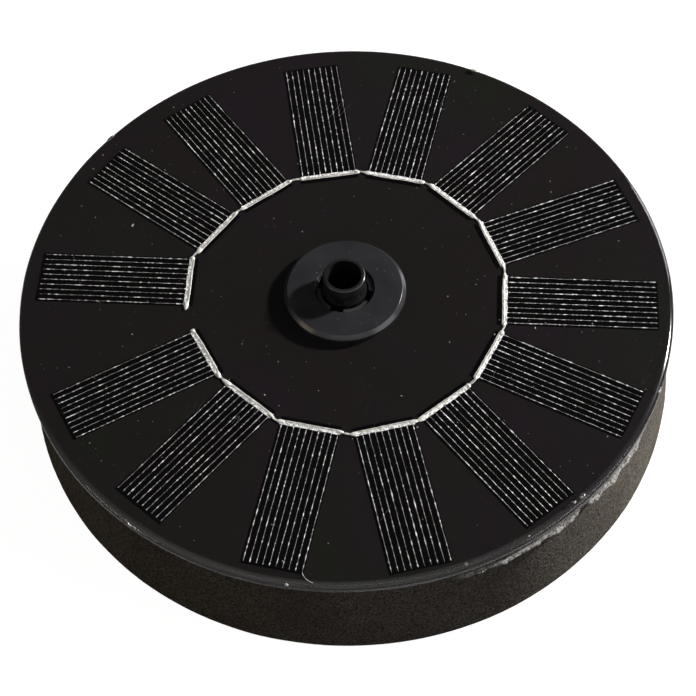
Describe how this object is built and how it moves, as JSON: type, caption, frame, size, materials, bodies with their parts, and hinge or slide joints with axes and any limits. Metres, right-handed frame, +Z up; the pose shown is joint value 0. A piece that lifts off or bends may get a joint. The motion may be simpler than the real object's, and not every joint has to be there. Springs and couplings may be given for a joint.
{
  "type": "floating solar fountain pump",
  "caption": "Round floating solar panel on a thick foam ring, with a sealed pump underneath and a short flanged outlet tube at its centre; set in water, it drives a fountain.",
  "frame": {"origin": "on the outlet tube's axis, in the plane of the float's underside", "axes": "+Z up along the outlet tube; +X and +Y across the round panel, with the wide gap in the ring of cells towards -X"},
  "size_m": [0.1584, 0.1584, 0.0354],
  "materials": {
    "silicon": "dark silicon plates with fine printed silver lines",
    "tinned_ribbon": "tinned copper ribbon, hand soldered",
    "board_black": "glass-fibre board with black solder mask",
    "clear_resin": "clear cast resin, glossy, rounded rim",
    "solder": "solder",
    "foam_black": "black closed-cell foam with a fine grain",
    "adhesive": "double-sided film and black sealant",
    "grey_plastic": "dark grey moulded plastic, satin",
    "black_plastic": "black moulded plastic, satin",
    "gasket_rubber": "black rubber",
    "ceramic_white": "ground ceramic shaft",
    "impeller_plastic": "off-white moulded plastic",
    "magnet_grey": "sintered ferrite",
    "core_steel": "stacked electrical steel",
    "bobbin_plastic": "natural nylon",
    "copper_wire": "enamelled copper wire, wound",
    "board_green": "glass-fibre board with green solder mask",
    "chip_black": "black moulded chip package",
    "capacitor_tan": "ceramic chip capacitor",
    "lead_red": "red insulated wire",
    "lead_black": "black insulated wire",
    "potting_black": "black potting resin"
  },
  "bodies": {
    "float": {"coil_bobbin_left": "bobbin_plastic", "coil_bobbin_right": "bobbin_plastic", "coil_winding_left": "copper_wire", "coil_winding_right": "copper_wire", "driver_board": "board_green", "driver_chip": "chip_black", "float_adhesive": "adhesive", "float_ring": "foam_black", "hall_sensor": "chip_black", "lead_negative": "lead_black", "lead_positive": "lead_red", "lead_solder": "solder", "lower_bush": "gasket_rubber", "motor_lid": "black_plastic", "motor_potting": "potting_black", "neck_gasket": "gasket_rubber", "outlet_collar": "grey_plastic", "panel_board": "board_black", "panel_resin": "clear_resin", "pump_adhesive": "adhesive", "pump_base": "black_plastic", "pump_case": "black_plastic", "rotor_shaft": "ceramic_white", "smoothing_capacitor": "capacitor_tan", "solar_cell_01": "silicon", "solar_cell_02": "silicon", "solar_cell_03": "silicon", "solar_cell_04": "silicon", "solar_cell_05": "silicon", "solar_cell_06": "silicon", "solar_cell_07": "silicon", "solar_cell_08": "silicon", "solar_cell_09": "silicon", "solar_cell_10": "silicon", "solar_cell_11": "silicon", "solar_cell_12": "silicon", "solar_cell_13": "silicon", "solar_cell_14": "silicon", "solder_joints": "solder", "stator_core": "core_steel", "tab_ribbon_01": "tinned_ribbon", "tab_ribbon_02": "tinned_ribbon", "tab_ribbon_03": "tinned_ribbon", "tab_ribbon_04": "tinned_ribbon", "tab_ribbon_05": "tinned_ribbon", "tab_ribbon_06": "tinned_ribbon", "tab_ribbon_07": "tinned_ribbon", "tab_ribbon_08": "tinned_ribbon", "tab_ribbon_09": "tinned_ribbon", "tab_ribbon_10": "tinned_ribbon", "tab_ribbon_11": "tinned_ribbon", "tab_ribbon_12": "tinned_ribbon", "tab_ribbon_13": "tinned_ribbon", "tab_ribbon_14": "tinned_ribbon", "upper_bush": "gasket_rubber", "volute_cover": "black_plastic"},
    "rotor": {"impeller": "impeller_plastic", "rotor_magnet": "magnet_grey"},
    "strainer": {"strainer": "black_plastic"}
  },
  "joints": [
    {"name": "impeller_spin", "type": "hinge", "parent": "float", "child": "rotor", "pos_m": [-0.014, 0, 0.014], "axis": [0, 0, 1], "continuous": true},
    {"name": "strainer_pull", "type": "slide", "parent": "float", "child": "strainer", "axis": [0, 0, -1], "range_m": [0, 0.02]}
  ]
}
